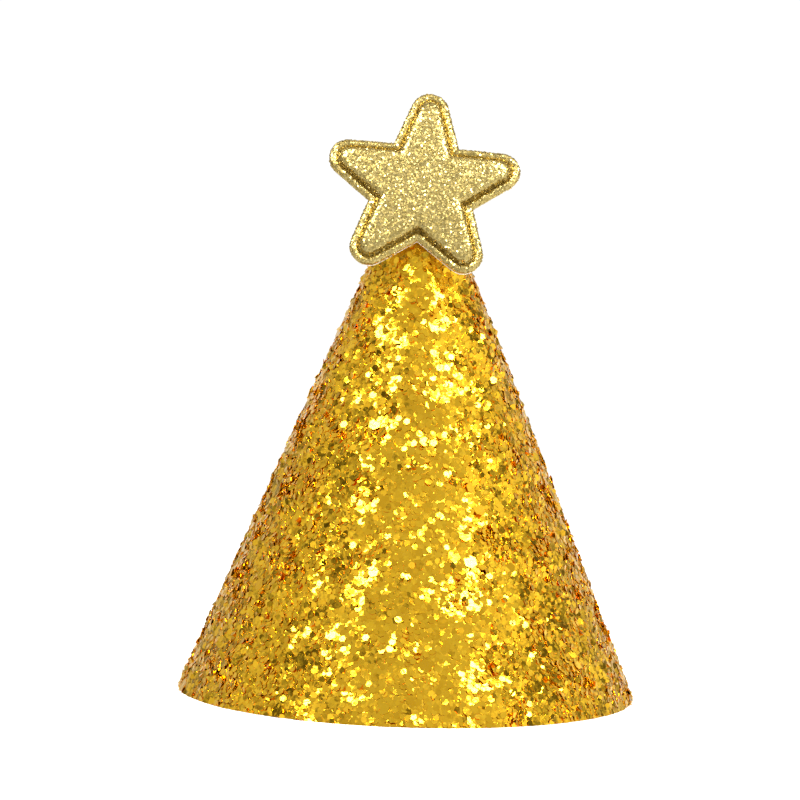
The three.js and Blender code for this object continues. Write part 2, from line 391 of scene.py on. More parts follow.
def weave_height(tree, pitch):
    """A plain weave's height over the cloth's own flat coordinates, with a thread every pitch metres."""
    flat = add_node(tree, "ShaderNodeAttribute", attribute_name="flat").outputs["Vector"]
    across = add_node(tree, "ShaderNodeSeparateXYZ", {0: flat})
    turn = FULL_TURN / pitch / 2
    first = maths(tree, "SINE", maths(tree, "MULTIPLY", across.outputs[0], turn))
    second = maths(tree, "SINE", maths(tree, "MULTIPLY", across.outputs[1], turn))
    warp = maths(tree, "ABSOLUTE", first)
    weft = maths(tree, "ABSOLUTE", second)
    over = maths(tree, "GREATER_THAN", maths(tree, "MULTIPLY", first, second), 0.0)
    mix = add_node(tree, "ShaderNodeMix", {0: over, 2: warp, 3: weft})
    return mix.outputs[0]


def woven_material(name, colour, shade, pitch, depth):
    look, tree = start_material(name)
    place = object_place(tree)
    height = weave_height(tree, pitch)
    slubs = noise_value(tree, place, 700.0, 4.0)
    # The tone is partly random slubs and partly painted shade: the gaps between threads take the darker
    # colour.
    tone = mix_colours(tree, maths(tree, "MULTIPLY", height, slubs), shade, colour)
    fuzz = noise_value(tree, place, 9000.0, 2.0)
    shader = add_node(
        tree,
        "ShaderNodeBsdfPrincipled",
        {
            "Base Color": tone,
            "Roughness": map_range(tree, slubs, 0.7, 0.95),
            "Sheen Weight": 0.25,
            "Sheen Roughness": 0.5,
            "Normal": bump(tree, fuzz, depth * 0.4, 1.0, bump(tree, height, depth)),
        },
    )
    end_material(tree, shader)
    return look


def felt_material(name, colour, shade):
    """Pressed felt: tangled fibres over soft lumps."""
    look, tree = start_material(name)
    place = object_place(tree)
    lumps = noise_value(tree, place, 500.0, 4.0)
    stretched = add_node(
        tree,
        "ShaderNodeMapping",
        {"Vector": place, "Rotation": (0.4, 0.9, 0.2), "Scale": (1.0, 6.0, 2.5)},
    ).outputs[0]
    fibres = noise_value(tree, stretched, 1800.0, 5.0, 0.7)
    shader = add_node(
        tree,
        "ShaderNodeBsdfPrincipled",
        {
            "Base Color": mix_colours(tree, maths(tree, "MULTIPLY", lumps, fibres), shade, colour),
            "Roughness": map_range(tree, fibres, 0.8, 1.0),
            "Sheen Weight": 0.5,
            "Sheen Roughness": 0.6,
            "Normal": bump(tree, fibres, 0.00012, 1.0, bump(tree, lumps, 0.0002)),
        },
    )
    end_material(tree, shader)
    return look


def card_material():
    """Uncoated white card: a faint mottle, long pulp fibres and a few grey flecks."""
    look, tree = start_material("card")
    place = object_place(tree)
    mottle = noise_value(tree, place, 140.0, 5.0)
    stretched = add_node(
        tree, "ShaderNodeMapping", {"Vector": place, "Scale": (1.0, 1.0, 5.0)}
    ).outputs[0]
    pulp = noise_value(tree, stretched, 1500.0, 6.0, 0.7)
    flecks = add_node(
        tree, "ShaderNodeTexVoronoi", {"Vector": place, "Scale": 240.0}
    ).outputs["Distance"]
    fleck = map_range(tree, flecks, 1.0, 0.0, 0.02, 0.06)
    paper = mix_colours(tree, mottle, (0.80, 0.78, 0.73), (0.88, 0.865, 0.82))
    shader = add_node(
        tree,
        "ShaderNodeBsdfPrincipled",
        {
            "Base Color": mix_colours(tree, fleck, paper, (0.62, 0.58, 0.5)),
            "Roughness": map_range(tree, pulp, 0.72, 0.95),
            "Normal": bump(tree, pulp, 0.00004, 1.0, bump(tree, mottle, 0.0002)),
        },
    )
    end_material(tree, shader)
    return look


def glue_material():
    """Hot-melt glue: cloudy and waxy, with faint bubbles and pull marks."""
    look, tree = start_material("hot_glue")
    place = object_place(tree)
    cloud = noise_value(tree, place, 350.0, 4.0)
    bubbles = add_node(
        tree, "ShaderNodeTexVoronoi", {"Vector": place, "Scale": 1600.0}
    ).outputs["Distance"]
    shader = add_node(
        tree,
        "ShaderNodeBsdfPrincipled",
        {
            "Base Color": mix_colours(tree, cloud, (0.72, 0.66, 0.5), (0.86, 0.83, 0.74)),
            "Roughness": map_range(tree, cloud, 0.18, 0.4),
            "Subsurface Weight": 0.6,
            "Subsurface Radius": (0.002, 0.0016, 0.001),
            "Subsurface Scale": 0.6,
            "Coat Weight": 0.3,
            "Coat Roughness": 0.12,
            "Normal": bump(tree, bubbles, 0.00005, 0.5, bump(tree, cloud, 0.0002)),
        },
    )
    end_material(tree, shader)
    return look


def tape_material():
    """Double-sided tape: glossy cream film with pressed-in wrinkles."""
    look, tree = start_material("tape")
    place = object_place(tree)
    wrinkles = noise_value(tree, place, 260.0, 5.0, 0.65)
    shader = add_node(
        tree,
        "ShaderNodeBsdfPrincipled",
        {
            "Base Color": mix_colours(tree, wrinkles, (0.74, 0.68, 0.52), (0.84, 0.8, 0.68)),
            "Roughness": map_range(tree, wrinkles, 0.25, 0.6),
            "Normal": bump(tree, wrinkles, 0.0001),
        },
    )
    end_material(tree, shader)
    return look


def foam_material():
    """Sponge foam: small open cells, whose hollow middles are painted darker as painted shade."""
    look, tree = start_material("foam")
    place = object_place(tree)
    cells = add_node(
        tree, "ShaderNodeTexVoronoi", {"Vector": place, "Scale": 2600.0}
    ).outputs["Distance"]
    shader = add_node(
        tree,
        "ShaderNodeBsdfPrincipled",
        {
            "Base Color": mix_colours(tree, cells, (0.7, 0.68, 0.62), (0.92, 0.9, 0.86)),
            "Roughness": map_range(tree, cells, 0.8, 1.0),
            "Normal": bump(tree, cells, 0.00025),
        },
    )
    end_material(tree, shader)
    return look


# --- Glitter flakes -------------------------------------------------------------------------------

FLAKE_THICKNESS = 0.07
HEXAGON = np.arange(6) * FULL_TURN / 6
FLAKES_A_PIECE = 9500  # keeps each piece of flakes under the export's limit of faces
GROUND_INSET = -0.15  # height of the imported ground, measured from the CAD model's outside
RIPPLE_SLOPE = math.tan(math.radians(5))  # slope that neighbouring flakes lean by together
RIPPLE_LENGTH = 7.0
LEAN_LIFT = 0.3  # share of its size that a flake's middle is lifted by, for each unit of slope
STEEPEST = math.tan(math.radians(26))  # glue holds the flakes flatter than this


def flake_piece(name, tops, bottoms):
    """A piece of many six-sided foil flakes, from the corners of their top and bottom faces."""
    count = len(tops)
    points = np.concatenate([tops, bottoms], axis=1).reshape(-1, 3)
    first = (np.arange(count) * 12)[:, None]
    corner = np.arange(6)
    top_faces = first + corner[::-1]
    bottom_faces = first + 6 + corner
    following = (corner + 1) % 6
    side = np.stack([corner, following, following + 6, corner + 6], axis=-1)
    side_faces = (first[:, :, None] + side[None]).reshape(-1, 4)
    piece = make_piece(name, points, top_faces, bottom_faces, side_faces, smooth_faces=False)
    add_attribute(piece, "tint", np.repeat(random.uniform(0, 1, count), 12))
    add_attribute(piece, "polish", np.repeat(random.uniform(0, 1, count), 12))
    return piece


def mixed_leans(count, shares, spreads):
    """Random slopes of flakes: a share of them for each spread, given in degrees."""
    spread = random.choice(np.tan(np.radians(spreads)), count, p=shares)
    return np.clip(random.normal(size=(2, count)) * spread, -STEEPEST, STEEPEST)


def on_wall(angle, down, out):
    """A point of the cone, from its angle, its distance down the slope and its height off the wall."""
    radius = down * math.sin(HALF_ANGLE) + out * math.cos(HALF_ANGLE)
    z = CONE_HEIGHT - down * math.cos(HALF_ANGLE) + out * math.sin(HALF_ANGLE)
    return np.stack([radius * np.cos(angle), radius * np.sin(angle), z], axis=-1)


def scatter_on_cone(spacing):
    """Angles and slope distances of points spread evenly over the cover's outside, a spacing apart."""
    start = COVER_SEAM + COVER_OVERLAP * 0.9
    angles, downs = [], []
    for row in np.arange(TIP_RADIUS / math.sin(HALF_ANGLE) + spacing / 2, SLANT, spacing):
        width = (COVER_END - start) * row * math.sin(HALF_ANGLE)
        count = max(4, round(width / spacing))
        share = (np.arange(count) + random.uniform(0.05, 0.95, count)) / count
        angles.append(start + share * (COVER_END - start))
        downs.append(row + random.uniform(-0.5, 0.5, count) * spacing)
    angle, down = np.concatenate(angles), np.concatenate(downs)
    order = random.permutation(len(angle))
    return angle[order], down[order]


def cone_flakes(spacing, sizes, shares, spreads, lift):
    """Corners of the top and bottom faces of flakes lying on the cone."""
    angle, down = scatter_on_cone(spacing)
    count = len(angle)
    size = random.uniform(*sizes, count)
    lean = mixed_leans(count, shares, spreads)
    place = on_wall(angle, down, 0 * angle)
    ripple = [waves(place, RIPPLE_LENGTH, seed) * RIPPLE_SLOPE for seed in (3, 4)]
    slope_around, slope_down = lean[0] + ripple[0], lean[1] + ripple[1]
    steep = np.hypot(*lean)
    centre_out = GROUND_INSET + steep * size * LEAN_LIFT + random.uniform(*lift, count)
    turn = random.uniform(0, FULL_TURN, count)
    corner = HEXAGON[None] + turn[:, None]
    around = size[:, None] / 2 * np.cos(corner)
    along = size[:, None] / 2 * np.sin(corner)
    out = centre_out[:, None] + slope_around[:, None] * around + slope_down[:, None] * along
    radius = np.maximum(down * math.sin(HALF_ANGLE), 1.0)[:, None]
    corner_angle = np.minimum(angle[:, None] + around / radius, COVER_END)
    lifted = cover_lift(corner_angle)
    tip_down = TIP_RADIUS / math.sin(HALF_ANGLE)
    faces = []
    for layer in (0.0, -FLAKE_THICKNESS):
        layer_out = out + lifted + layer
        rim_down = SLANT + layer_out * math.tan(HALF_ANGLE)
        corner_down = np.clip(down[:, None] + along, tip_down, rim_down)
        faces.append(on_wall(corner_angle, corner_down, layer_out))
    return faces


def make_cone_flakes(look):
    """The loose glitter of the cone, in three sizes. Spreads are in degrees, the rest in millimetres."""
    layers = {
        "fine": {
            "spacing": 1.0,
            "sizes": (0.5, 0.75),
            "shares": (0.6, 0.4),
            "spreads": (6, 15),
            "lift": (0.0, 0.1),
        },
        "common": {
            "spacing": 0.76,
            "sizes": (1.0, 1.25),
            "shares": (0.6, 0.28, 0.12),
            "spreads": (3.5, 9, 15),
            "lift": (0.03, 0.18),
        },
        "large": {
            "spacing": 5.5,
            "sizes": (1.6, 2.4),
            "shares": (0.7, 0.3),
            "spreads": (4, 9),
            "lift": (0.1, 0.22),
        },
    }
    pieces = []
    for kind, settings in layers.items():
        tops, bottoms = cone_flakes(**settings)
        parts = math.ceil(len(tops) / FLAKES_A_PIECE)
        for number, chosen in enumerate(np.array_split(np.arange(len(tops)), parts), 1):
            name = f"glitter_flakes_{kind}" + (f"_{number}" if parts > 1 else "")
            piece = flake_piece(name, tops[chosen], bottoms[chosen])
            finish_piece(piece, "glitter_fabric", [look])
            pieces.append(piece)
    return pieces


# --- The cone's sheets ----------------------------------------------------------------------------


def cone_grid(angles, heights, offset):
    """Points of a sheet's face on the cone, a row for each height. offset is square to the wall."""
    angle, height = np.meshgrid(angles, heights)
    radius = RIM_RADIUS * (1 - height / CONE_HEIGHT) + offset / math.cos(HALF_ANGLE)
    return np.stack([radius * np.cos(angle), radius * np.sin(angle), height], axis=-1)


def flat_cut(angles, heights):
    """Where each point of the same grid lies on the sheet before it is rolled, in metres."""
    angle, height = np.meshgrid(angles, heights)
    reach = (CONE_HEIGHT - height) / math.cos(HALF_ANGLE) * MM
    fan = (angle - angles[0]) * math.sin(HALF_ANGLE)
    return np.stack([reach * np.cos(fan), reach * np.sin(fan), 0 * reach], axis=-1).reshape(-1, 3)


LUMP_LENGTH = 2.2
LUMP_SHARE = 0.025 / 30  # size of the ground's lumps, as a share of the radius


def make_cover(ground, backing, cut_edge_with_painted_shade):
    """The glitter fabric, with its ground just under the top flakes."""
    angles = np.arange(COVER_SEAM, COVER_END + 1e-6, math.radians(1))
    heights = np.linspace(0, height_at_radius(TIP_RADIUS), 110)
    lift = cover_lift(angles)[None]
    outside = cone_grid(angles, heights, lift + GROUND_INSET)
    lumps = waves(outside, LUMP_LENGTH, 11) * LUMP_SHARE
    outside[1:-1] += (outside[1:-1] * (1, 1, 0)) * lumps[1:-1, :, None]
    inside = cone_grid(angles, heights, lift - COVER_THICKNESS)
    cover = sheet_solid("glitter_fabric", outside, inside)
    add_attribute(cover, "flat", np.tile(flat_cut(angles, heights), (2, 1)))
    finish_piece(cover, "glitter_fabric", [ground, backing, cut_edge_with_painted_shade], "glitter_cover")


def make_card(look):
    """The card liner, whose hidden edge steps inwards."""
    angles = np.arange(CARD_SEAM, CARD_SEAM + FULL_TURN + CARD_OVERLAP + 1e-6, math.radians(1))
    heights = np.linspace(CARD_RECESS, height_at_radius(CARD_TIP_RADIUS), 60)
    step = CARD_STEP * (1 - smooth((angles - CARD_SEAM - CARD_OVERLAP) / RAMP))
    inner = CARD_INSIDE - step[None]
    outside = cone_grid(angles, heights, inner + CARD_THICKNESS)
    inside = cone_grid(angles, heights, inner)
    card = sheet_solid("card_liner", outside, inside)
    finish_piece(card, "card", [look, look, look], "card_cone")


# --- The star -------------------------------------------------------------------------------------

STAR_SEGMENTS = 240
DOME_LEVELS = np.concatenate(
    [[0.02, 0.045, 0.08], np.linspace(0.12, 0.9, 13), [0.94, 0.97, 0.985, 1.0]]
)
PUFF_SCALE = 20  # the star is simulated this many times its size, at the size of a cushion
PUFF_FRAMES = 20
PUFF_SIDEWAYS_CAP = 0.25  # mm that a point of the padded face may move sideways
PUFF_START = 0.25  # mm that the star's middle stands up before it is blown up

# The shown face is flatter than the CAD solid that it stands for. These three were found by trial.
PRESSED = 0.44  # share of the CAD face's height above the groove that the shown face keeps
PLATEAU = 14.0  # how much the slab of foam flattens the puffed shape on top and steepens its sides
CROWN = 0.34  # share of the padding's height that it loses from the star's middle to its tips

SKIN_SHARE = 0.93  # the face's inside is the outside's rings drawn in to this share
FOAM_SHARE = 0.86  # and the foam is drawn in to this one
LOWEST_SKIN = 0.3
LOWEST_FOAM = 0.2
STAR_FLAKE_SIZES = (0.22, 0.4)
STAR_FLAKE_THICKNESS = 0.04
STAR_FLAKE_LIFT = (0.02, 0.07)  # mm off the face: the least, and how much more at most
STAR_LEAN_LIFT = 0.25
BORDER_RINGS_SHOWN = 9  # the rings of the border that carry flakes, from the groove outwards


def star_frame():
    """The star's own frame: +Z out of its face and +Y up its face."""
    up = Vector((0, math.sin(HALF_ANGLE), math.cos(HALF_ANGLE)))
    out = Vector((0, -math.cos(HALF_ANGLE), math.sin(HALF_ANGLE)))
    place = Vector((0, 0, CONE_HEIGHT)) - up * STAR_DOWN_SLOPE + out * STAR_STANDOFF
    lean = Matrix.Rotation(math.pi / 2 - HALF_ANGLE, 4, "X")
    return np.array(Matrix.Translation(place) @ lean @ Matrix.Rotation(STAR_TURN, 4, "Z"))


def to_hat(points):
    """Points of the star's own frame, in the hat's frame."""
    matrix = star_frame()
    return np.asarray(points) @ matrix[:3, :3].T + matrix[:3, 3]


def star_radius(direction, inset):
    """Distance from the star's centre to its outline, inset by a distance, along a direction."""
    sector = FULL_TURN / STAR_POINTS
    from_tip = np.abs(direction - sector * np.round(direction / sector))
    tip = STAR_TIP_RADIUS - inset
    tip_edge = np.arctan2(
        tip * math.cos(STAR_TIP_HALF_ANGLE), STAR_TIP_CENTRE + tip * math.sin(STAR_TIP_HALF_ANGLE)
    )
    across = STAR_TIP_CENTRE * np.sin(from_tip)
    on_arc = STAR_TIP_CENTRE * np.cos(from_tip) + np.sqrt(np.maximum(tip * tip - across**2, 0))
    on_line = (STAR_LINE - inset) / np.cos(math.pi / 2 - STAR_TIP_HALF_ANGLE - from_tip)
    return np.where(from_tip < tip_edge, on_arc, on_line)


DIRECTIONS = np.arange(STAR_SEGMENTS) * FULL_TURN / STAR_SEGMENTS


def star_ring(inset, height, share=1.0):
    """A ring of points along the star's outline, inset by a distance, then drawn in to a share."""
    radius = star_radius(DIRECTIONS, inset) * share
    x, y = -radius * np.sin(DIRECTIONS), radius * np.cos(DIRECTIONS)
    return np.stack([x, y, np.full(STAR_SEGMENTS, float(height))], axis=-1)


def star_dome():
    """Rings of the padded face from its middle to the groove, and its middle, above the groove."""
    flat = np.array([star_ring(STAR_BORDER, 0, level) for level in DOME_LEVELS])
    rise = (STAR_HEIGHT - STAR_GROOVE_HEIGHT) * PRESSED
    return puff_up(flat, rise)


def puff_up(flat, rise):
    """Blows up a star cushion that is sewn along its groove, with Blender's cloth."""
    scale = PUFF_SCALE
    start = flat.copy()
    start[:, :, 2] = PUFF_START * (1 - DOME_LEVELS**2)[:, None]
    under = start[:-1][::-1] * (1, 1, -1)
    rings = np.concatenate([start, under]) * scale
    middle = np.array([0, 0, PUFF_START]) * scale
    cushion = turned_solid("puffing_star", rings, middle, middle * (1, 1, -1))
    edge = len(flat) - 1
    pins = cushion.vertex_groups.new(name="sewn")
    pins.add(list(range(edge * STAR_SEGMENTS, (edge + 1) * STAR_SEGMENTS)), 1.0, "REPLACE")
    cloth = cushion.modifiers.new("cloth", "CLOTH")
    settings = cloth.settings
    settings.quality = 8
    settings.mass = 0.1
    settings.tension_stiffness = 12
    settings.compression_stiffness = 12
    settings.shear_stiffness = 4
    settings.bending_stiffness = 0.3
    settings.vertex_group_mass = "sewn"
    settings.use_pressure = True
    settings.uniform_pressure_force = 4
    settings.effector_weights.gravity = 0
    cloth.collision_settings.use_collision = False
    cloth.point_cache.frame_end = PUFF_FRAMES
    for number in range(1, PUFF_FRAMES + 1):
        scene.frame_set(number)
    evaluated = cushion.evaluated_get(bpy.context.evaluated_depsgraph_get())
    puffed = np.array([v.co for v in evaluated.data.vertices]) / MM / scale
    scene.frame_set(1)
    bpy.data.objects.remove(cushion)
    rings = puffed[: flat.shape[0] * STAR_SEGMENTS].reshape(flat.shape)
    top = puffed[-2]
    sideways = np.clip(rings[:, :, :2] - flat[:, :, :2], -PUFF_SIDEWAYS_CAP, PUFF_SIDEWAYS_CAP)
    dome = flat.copy()
    dome[:, :, :2] += sideways
    share = np.clip(rings[:, :, 2] / top[2], 0, 1)
    plateau = (1 - np.exp(-PLATEAU * share)) / (1 - math.exp(-PLATEAU))
    reach = np.linalg.norm(flat[:, :, :2], axis=2) / (STAR_TIP_CENTRE + STAR_TIP_RADIUS)
    dome[:, :, 2] = rise * plateau * (1 - CROWN * reach**2)
    dome[-1] = flat[-1]
    return dome, np.array([0, 0, rise])


def face_bottom():
    """Height of the glitter face's underside over the back of the felt."""
    return STAR_BACK_THICKNESS + GLUE_GAP


# The welded border's section: how far in from the outline, and how high, from the groove outwards.
BORDER_SECTION = [
    (1.42, 0.74),
    (1.28, 0.82),
    (1.12, 0.98),
    (0.92, 1.1),
    (0.7, STAR_BORDER_HEIGHT),
    (0.46, 1.12),
    (0.24, 1.0),
    (0.08, 0.8),
    (0.0, 0.55),
    (0.02, 0.3),
    (0.08, 0.1),
    (0.16, 0.0),
]


def make_star_face(dome, middle, ground):
    """The star's glitter skin: the padded dome, the groove and the rounded border, hollow behind."""
    up = np.array([0, 0, face_bottom()])
    over = np.array([0, 0, STAR_GROOVE_HEIGHT])
    groove = star_ring(STAR_BORDER, STAR_GROOVE_HEIGHT * 0.88)
    outer = [*(ring + over for ring in dome[:-1]), groove]
    border = [star_ring(inset, height) for inset, height in BORDER_SECTION]
    inner = []
    for ring in dome[::-1]:
        drawn = ring * (SKIN_SHARE, SKIN_SHARE, 1) + over - (0, 0, STAR_SKIN)
        drawn[:, 2] = np.maximum(drawn[:, 2], LOWEST_SKIN)
        inner.append(drawn)
    lip = inner[0] * (1, 1, 0)
    rings = np.array([*outer, *border, lip, *inner]) + up
    first = middle + over + up
    last = first - (0, 0, STAR_SKIN)
    face = turned_solid("star_face", to_hat(rings), to_hat(first), to_hat(last))
    finish_piece(face, "star_glitter_fabric", [ground], "star_front")
    return np.array([*outer, *border]) + up, first


def make_star_flakes(rings, middle, look):
    """Fine glitter over the star's face and border."""
    shown = rings[: len(DOME_LEVELS) + BORDER_RINGS_SHOWN]
    grid = np.concatenate([shown, shown[:, :1]], axis=1)
    a, b, c, d = grid[:-1, :-1], grid[1:, :-1], grid[1:, 1:], grid[:-1, 1:]
    centres = np.broadcast_to(middle, shown[0].shape)
    corners = np.concatenate([
        np.stack([a, b, c], axis=2).reshape(-1, 3, 3),
        np.stack([a, c, d], axis=2).reshape(-1, 3, 3),
        np.stack([centres, shown[0], np.roll(shown[0], -1, 0)], axis=1),
    ])
    cross = np.cross(corners[:, 1] - corners[:, 0], corners[:, 2] - corners[:, 0])
    area = np.linalg.norm(cross, axis=1)
    chosen = random.choice(len(corners), FLAKES_A_PIECE, p=area / area.sum())
    normal = cross[chosen] / area[chosen][:, None]
    weights = random.dirichlet((1, 1, 1), FLAKES_A_PIECE)
    centre = (corners[chosen] * weights[:, :, None]).sum(1)
    lean = mixed_leans(FLAKES_A_PIECE, (0.65, 0.35), (4, 9))
    side = np.cross(normal, (0.3, 1.0, 0.1))
    side /= np.linalg.norm(side, axis=1, keepdims=True)
    other = np.cross(normal, side)
    normal = normal + side * lean[0][:, None] + other * lean[1][:, None]
    normal /= np.linalg.norm(normal, axis=1, keepdims=True)
    side = np.cross(normal, other)
    side /= np.linalg.norm(side, axis=1, keepdims=True)
    other = np.cross(normal, side)
    size = random.uniform(*STAR_FLAKE_SIZES, FLAKES_A_PIECE)
    turn = HEXAGON[None] + random.uniform(0, FULL_TURN, FLAKES_A_PIECE)[:, None]
    across = np.cos(turn)[:, :, None] * side[:, None]
    along = np.sin(turn)[:, :, None] * other[:, None]
    corner = size[:, None, None] / 2 * (across + along)
    least, more = STAR_FLAKE_LIFT
    lift = least + random.uniform(0, more, FLAKES_A_PIECE) + np.hypot(*lean) * size * STAR_LEAN_LIFT
    out = normal * lift[:, None]
    tops = centre[:, None] + corner + out[:, None]
    bottoms = tops - normal[:, None] * STAR_FLAKE_THICKNESS
    flakes = flake_piece("star_flakes", to_hat(tops)[:, ::-1], to_hat(bottoms)[:, ::-1])
    finish_piece(flakes, "star_glitter_fabric", [look])


def make_star_padding(dome, middle, look):
    """The foam inside the star, under its skin."""
    up = np.array([0, 0, face_bottom()])
    drop = STAR_GROOVE_HEIGHT - STAR_SKIN - CLEARANCE
    rings = []
    for ring in dome:
        drawn = ring * (FOAM_SHARE, FOAM_SHARE, 1) + (0, 0, drop)
        drawn[:, 2] = np.maximum(drawn[:, 2], LOWEST_FOAM)
        rings.append(drawn)
    rings.append(rings[-1] * (1, 1, 0))
    first = middle + (0, 0, drop) + up
    padding = turned_solid("star_foam", to_hat(np.array(rings) + up), to_hat(first), to_hat(up))
    finish_piece(padding, "foam", [look], "star_padding")


def make_star_back(look):
    """The felt on the star's back, with a soft cut edge."""
    trim, round_edge = 0.15, 0.22
    shares = np.linspace(0.1, 0.96, 16)
    rings = [star_ring(trim + round_edge, STAR_BACK_THICKNESS, share) for share in shares]
    for turn in np.linspace(0, math.pi, 9):
        inset = trim + round_edge * (1 - math.sin(turn))
        height = STAR_BACK_THICKNESS / 2 * (1 + math.cos(turn))
        rings.append(star_ring(inset, height))
    rings += [star_ring(trim + round_edge, 0, share) for share in shares[::-1]]
    rings = np.array(rings)
    lumps = waves(rings, 1.4, 21) * 0.03
    rings[:, :, 2] += np.where(rings[:, :, 2] < STAR_BACK_THICKNESS / 2, lumps, 0)
    back = turned_solid(
        "star_felt", to_hat(rings), to_hat((0, 0, STAR_BACK_THICKNESS)), to_hat((0, 0, 0))
    )
    finish_piece(back, "felt", [look], "star_back")


# --- Glue -----------------------------------------------------------------------------------------


def make_glue(name, node, look, voxel, seed):
    """A blob of glue in the CAD solid's place: its edges melt round and its sides swell unevenly."""
    piece = bpy.data.objects.new(name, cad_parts[node].data.copy())
    piece.data.materials.clear()
    scene.collection.objects.link(piece)
    remesh = piece.modifiers.new("melt", "REMESH")
    remesh.mode = "VOXEL"
    remesh.voxel_size = voxel * MM
    soften = piece.modifiers.new("soften", "SMOOTH")
    soften.factor = 0.5
    soften.iterations = 8
    evaluated = piece.evaluated_get(bpy.context.evaluated_depsgraph_get())
    piece.data = bpy.data.meshes.new_from_object(evaluated)
    piece.modifiers.clear()
    mesh = piece.data
    points = np.zeros(len(mesh.vertices) * 3)
    mesh.vertices.foreach_get("co", points)
    normals = np.zeros(len(mesh.vertices) * 3)
    mesh.vertices.foreach_get("normal", normals)
    points, normals = points.reshape(-1, 3), normals.reshape(-1, 3)
    points += normals * (waves(points / MM, 2.5, seed) * 0.05 * MM)[:, None]
    mesh.vertices.foreach_set("co", points.ravel())
    mesh.polygons.foreach_set("use_smooth", np.ones(len(mesh.polygons), bool))
    mesh.update()
    finish_piece(piece, "hot_glue", [look], node)


# --- Loops and patches inside ---------------------------------------------------------------------

RIB_PITCH = 0.55
RIB_DEPTH = 0.05
EYE_CLOSING = 4.4  # length over which the two legs of the ribbon come together above its eye
PATCH_HALF_WIDTH = 9.0
PATCH_SOFT_EDGE = 0.35  # width of the patch's rounded edge
PATCH_EDGE_SHARE = 0.35  # share of its thickness that the patch keeps at its very edge


def loop_line():
    """The folded ribbon's middle line: x inwards from the card, y up the wall, the back leg first."""
    half = RIBBON_THICKNESS / 2
    middle = LOOP_EYE_RADIUS + RIBBON_THICKNESS
    bend = LOOP_EYE_RADIUS + half
    length = (LOOP_HIGH - LOOP_LOW) / math.cos(HALF_ANGLE)
    back = [(half, y) for y in np.linspace(length, middle, 90)]
    turn = np.linspace(math.pi, FULL_TURN, 20)[1:]
    eye = [(middle + bend * math.cos(t), middle + bend * math.sin(t)) for t in turn]
    closing = np.linspace(0, 1, 24)[1:]
    start, end = middle + bend, 3 * half
    inwards = [(start + (end - start) * smooth(t), middle + EYE_CLOSING * t) for t in closing]
    front = [(end, y) for y in np.linspace(middle + EYE_CLOSING, length, 70)[1:]]
    return np.array([*back, *eye, *inwards, *front])


def make_loop(side, towards, look):
    """A grosgrain ribbon folded into a loop: ribs run across it, between plain woven edges."""
    line = loop_line()
    step = np.linalg.norm(np.diff(line, axis=0), axis=1)
    travelled = np.concatenate([[0], np.cumsum(step)])
    even = np.arange(0, travelled[-1], RIB_PITCH / 6)
    line = np.stack([np.interp(even, travelled, line[:, i]) for i in (0, 1)], axis=-1)
    along = np.gradient(line, axis=0)
    along /= np.linalg.norm(along, axis=1, keepdims=True)
    square = np.stack([along[:, 1], -along[:, 0]], axis=-1)
    across = np.linspace(-1, 1, 33)
    edge = 1 - smooth((np.abs(across) - 0.86) / 0.1)
    rib = 0.5 + 0.5 * np.cos(even * FULL_TURN / RIB_PITCH)
    thin = 0.36 + 0.1 * (1 - edge)[None] - RIB_DEPTH * (1 - rib[:, None]) * edge[None]
    half = RIBBON_THICKNESS * (thin + 0.1) * np.sqrt(np.clip(1.02 - across**12, 0.04, 1))[None]
    faces = []
    for sign in (1, -1):
        flat = line[:, None] + sign * square[:, None] * half[:, :, None]
        width = np.broadcast_to(across * LOOP_WIDTH / 2, half.shape)
        faces.append(np.stack([flat[..., 0], flat[..., 1], width], axis=-1))
    card_face = CARD_INSIDE / math.cos(HALF_ANGLE) - CLEARANCE
    wall = RIM_RADIUS * (1 - LOOP_LOW / CONE_HEIGHT) + card_face
    turn = Matrix.Rotation(-HALF_ANGLE, 3, "Y") @ Matrix.Rotation(math.pi, 3, "Z")
    turn = np.array(turn @ Matrix.Rotation(math.pi / 2, 3, "X"))
    around = np.array(Matrix.Rotation(towards, 3, "Z"))
    placed = [(face @ turn.T + (wall, 0, LOOP_LOW)) @ around.T for face in faces]
    loop = sheet_solid("ribbon_loop_" + side, placed[1], placed[0])
    flat = np.stack(np.broadcast_arrays(even[:, None], across * LOOP_WIDTH / 2, 0.0), axis=-1) * MM
    add_attribute(loop, "flat", np.tile(flat.reshape(-1, 3), (2, 1)))
    finish_piece(loop, "ribbon", [look, look, look], "cord_loop_" + side)


def make_patch(side, towards, look):
    """A felt patch over the ribbon's ends, with thin soft edges."""
    angles = np.linspace(towards - PATCH_HALF_ANGLE, towards + PATCH_HALF_ANGLE, 90)
    heights = np.linspace(PATCH_LOW, LOOP_HIGH, 60)
    over = 2 * RIBBON_THICKNESS + 2 * CLEARANCE + 0.2
    aside = (np.abs(angles - towards) / PATCH_HALF_ANGLE - 0.55) / 0.35
    inner = CARD_INSIDE - GLUE_GAP - PATCH_THICKNESS - over * (1 - smooth(aside))[None]
    reach = np.minimum(
        (1 - np.abs(np.linspace(-1, 1, len(heights))))[:, None] * (LOOP_HIGH - PATCH_LOW) / 2,
        (1 - np.abs(np.linspace(-1, 1, len(angles))))[None] * PATCH_HALF_WIDTH,
    )
    roundness = np.sqrt(1 - (1 - np.clip(reach / PATCH_SOFT_EDGE, 0, 1)) ** 2)
    thickness = PATCH_THICKNESS * (PATCH_EDGE_SHARE + (1 - PATCH_EDGE_SHARE) * roundness)
    place = cone_grid(angles, heights, inner)
    pressed = inner + (PATCH_THICKNESS - thickness) / 2 + waves(place, 1.6, 31) * 0.03
    inside = cone_grid(angles, heights, pressed)
    outside = cone_grid(angles, heights, inner + PATCH_THICKNESS - (PATCH_THICKNESS - thickness) / 2)
    patch = sheet_solid("felt_patch_" + side, outside, inside)
    finish_piece(patch, "felt", [look, look, look], "loop_patch_" + side)


# --- Studio ---------------------------------------------------------------------------------------

